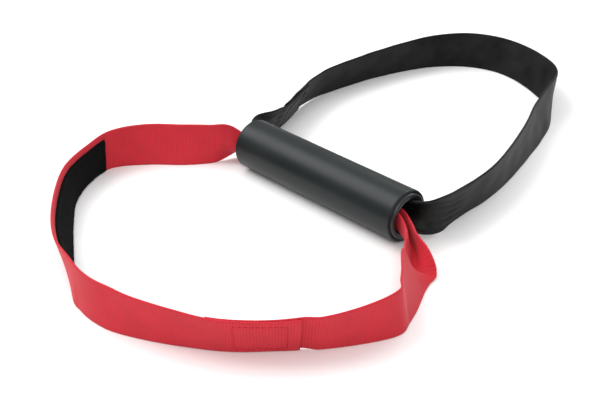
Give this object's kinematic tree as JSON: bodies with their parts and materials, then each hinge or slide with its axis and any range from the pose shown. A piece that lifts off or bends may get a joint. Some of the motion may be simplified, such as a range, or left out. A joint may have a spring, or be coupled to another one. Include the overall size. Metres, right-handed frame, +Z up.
{
  "type": "exercise grip handle with webbing loops",
  "caption": "Tubular rubber-covered grip with a red foot or hand loop and a black attachment loop of webbing threaded through its bore, lying on a floor.",
  "frame": {"origin": "middle of the underside of everything, on the floor it lies on", "axes": "+X along the grip, +Y from the red loop towards the black loop, +Z up"},
  "size_m": [0.2364, 0.4046, 0.03],
  "materials": {
    "sleeve": "satin",
    "core": "matte",
    "bush": "satin",
    "red_webbing": "woven with fine ribs across the width",
    "red_thread": "twisted thread",
    "pile": "short looped pile",
    "black_webbing": "satin weave",
    "black_thread": "twisted thread"
  },
  "bodies": {
    "red_loop": {"red_strap": "red_webbing", "red_lap_seam": "red_thread", "pile_patch": "pile", "patch_seam": "black_thread"},
    "grip": {"grip_sleeve": "sleeve", "core_tube": "core", "end_bush_left": "bush", "end_bush_right": "bush"},
    "black_loop": {"black_strap": "black_webbing", "black_lap_seam": "black_thread"}
  },
  "joints": [
    {"name": "grip_spin", "type": "hinge", "parent": "red_loop", "child": "grip", "pos_m": [0.00089, -0.03746, 0.015], "axis": [1, 0, 0], "continuous": true},
    {"name": "black_loop_swing", "type": "hinge", "parent": "red_loop", "child": "black_loop", "pos_m": [0.00089, -0.03746, 0.015], "axis": [1, 0, 0], "range_deg": [0, 50]}
  ]
}
